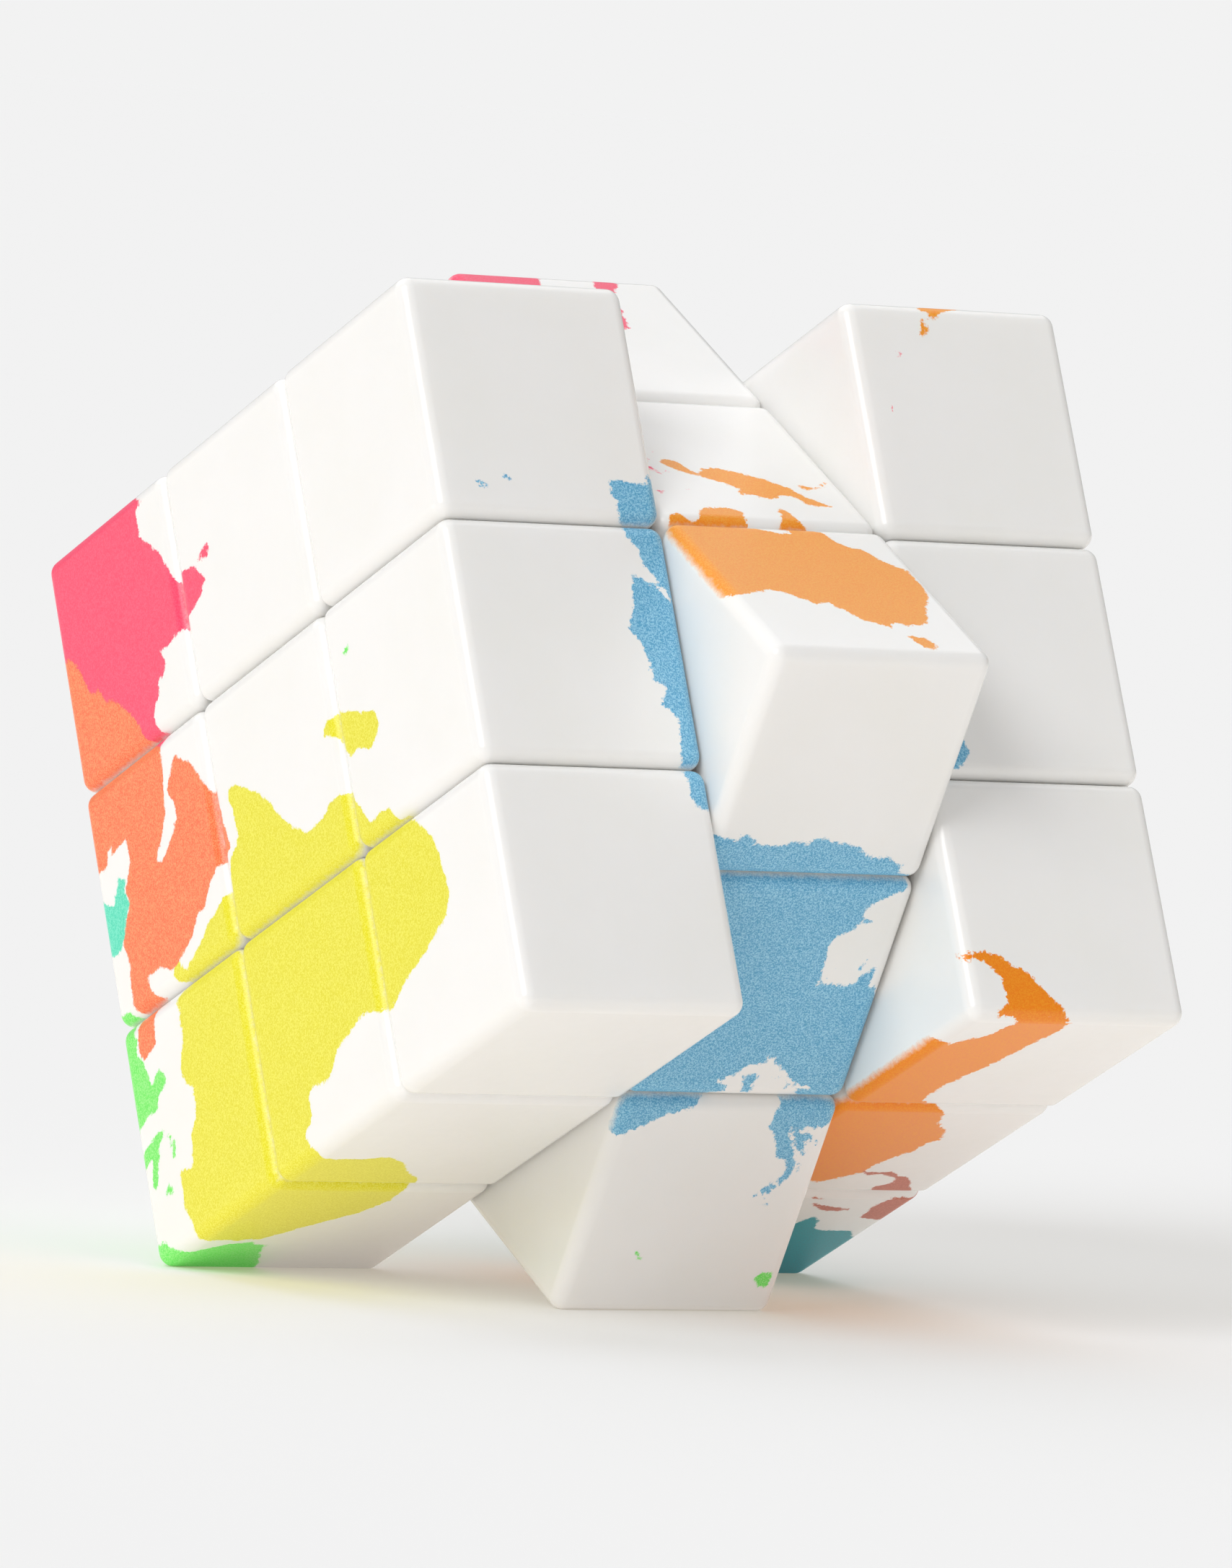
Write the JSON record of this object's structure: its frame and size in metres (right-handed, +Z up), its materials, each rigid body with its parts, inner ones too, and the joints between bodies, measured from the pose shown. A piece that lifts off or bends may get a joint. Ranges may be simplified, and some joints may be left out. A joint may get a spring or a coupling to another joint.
{
  "type": "cube twisty puzzle",
  "caption": "Cube-shaped twisty puzzle with a world map printed over its faces, its middle slice turned part way so that it stands on its edges; the layers turn about a sprung inner core.",
  "frame": {"origin": "on the surface that the puzzle stands on, below the centre of the cube", "axes": "+X along the axis that the layers turn about, from the left layer to the right layer; +Y to the back; +Z up"},
  "size_m": [0.057, 0.0754, 0.0755],
  "materials": {
    "shell_plastic": "satin white ABS with a printed map",
    "foot_plastic": "moulded white ABS",
    "centre_plastic": "moulded white ABS",
    "core_plastic": "moulded nylon",
    "screw_steel": "zinc plated",
    "washer_steel": "zinc plated",
    "spring_steel": "bright spring wire"
  },
  "bodies": {
    "root": {"centre_screws": "screw_steel", "centre_springs": "spring_steel", "centre_washers": "washer_steel", "core": "core_plastic", "edge_back_bottom_foot": "foot_plastic", "edge_back_bottom_shell": "shell_plastic", "edge_back_top_foot": "foot_plastic", "edge_back_top_shell": "shell_plastic", "edge_front_bottom_foot": "foot_plastic", "edge_front_bottom_shell": "shell_plastic", "edge_front_top_foot": "foot_plastic", "edge_front_top_shell": "shell_plastic"},
    "left_layer": {"corner_left_back_bottom_foot": "foot_plastic", "corner_left_back_bottom_shell": "shell_plastic", "corner_left_back_top_foot": "foot_plastic", "corner_left_back_top_shell": "shell_plastic", "corner_left_front_bottom_foot": "foot_plastic", "corner_left_front_bottom_shell": "shell_plastic", "corner_left_front_top_foot": "foot_plastic", "corner_left_front_top_shell": "shell_plastic", "edge_left_back_foot": "foot_plastic", "edge_left_back_shell": "shell_plastic", "edge_left_bottom_foot": "foot_plastic", "edge_left_bottom_shell": "shell_plastic", "edge_left_front_foot": "foot_plastic", "edge_left_front_shell": "shell_plastic", "edge_left_top_foot": "foot_plastic", "edge_left_top_shell": "shell_plastic"},
    "right_layer": {"corner_right_back_bottom_foot": "foot_plastic", "corner_right_back_bottom_shell": "shell_plastic", "corner_right_back_top_foot": "foot_plastic", "corner_right_back_top_shell": "shell_plastic", "corner_right_front_bottom_foot": "foot_plastic", "corner_right_front_bottom_shell": "shell_plastic", "corner_right_front_top_foot": "foot_plastic", "corner_right_front_top_shell": "shell_plastic", "edge_right_back_foot": "foot_plastic", "edge_right_back_shell": "shell_plastic", "edge_right_bottom_foot": "foot_plastic", "edge_right_bottom_shell": "shell_plastic", "edge_right_front_foot": "foot_plastic", "edge_right_front_shell": "shell_plastic", "edge_right_top_foot": "foot_plastic", "edge_right_top_shell": "shell_plastic"},
    "left_centre": {"centre_left_body": "centre_plastic", "centre_left_cap": "shell_plastic"},
    "right_centre": {"centre_right_body": "centre_plastic", "centre_right_cap": "shell_plastic"},
    "front_centre": {"centre_front_body": "centre_plastic", "centre_front_cap": "shell_plastic"},
    "back_centre": {"centre_back_body": "centre_plastic", "centre_back_cap": "shell_plastic"},
    "top_centre": {"centre_top_body": "centre_plastic", "centre_top_cap": "shell_plastic"},
    "bottom_centre": {"centre_bottom_body": "centre_plastic", "centre_bottom_cap": "shell_plastic"}
  },
  "joints": [
    {"name": "left_layer_turn", "type": "hinge", "parent": "root", "child": "left_layer", "pos_m": [0, 0, 0.03775], "axis": [1, 0, 0], "continuous": true},
    {"name": "right_layer_turn", "type": "hinge", "parent": "root", "child": "right_layer", "pos_m": [0, 0, 0.03775], "axis": [1, 0, 0], "continuous": true},
    {"name": "left_centre_float", "type": "slide", "parent": "left_layer", "child": "left_centre", "axis": [-1, 0, 0], "range_m": [0, 0.0004], "stiffness_N_per_m": 1500, "springref_m": -0.002},
    {"name": "right_centre_float", "type": "slide", "parent": "right_layer", "child": "right_centre", "axis": [1, 0, 0], "range_m": [0, 0.0004], "stiffness_N_per_m": 1500, "springref_m": -0.002},
    {"name": "front_centre_float", "type": "slide", "parent": "root", "child": "front_centre", "axis": [0, -0.8985, -0.439], "range_m": [0, 0.0004], "stiffness_N_per_m": 1500, "springref_m": -0.002},
    {"name": "back_centre_float", "type": "slide", "parent": "root", "child": "back_centre", "axis": [0, 0.8985, 0.439], "range_m": [0, 0.0004], "stiffness_N_per_m": 1500, "springref_m": -0.002},
    {"name": "top_centre_float", "type": "slide", "parent": "root", "child": "top_centre", "axis": [0, -0.439, 0.8985], "range_m": [0, 0.0004], "stiffness_N_per_m": 1500, "springref_m": -0.002},
    {"name": "bottom_centre_float", "type": "slide", "parent": "root", "child": "bottom_centre", "axis": [0, 0.439, -0.8985], "range_m": [0, 0.0004], "stiffness_N_per_m": 1500, "springref_m": -0.002}
  ]
}
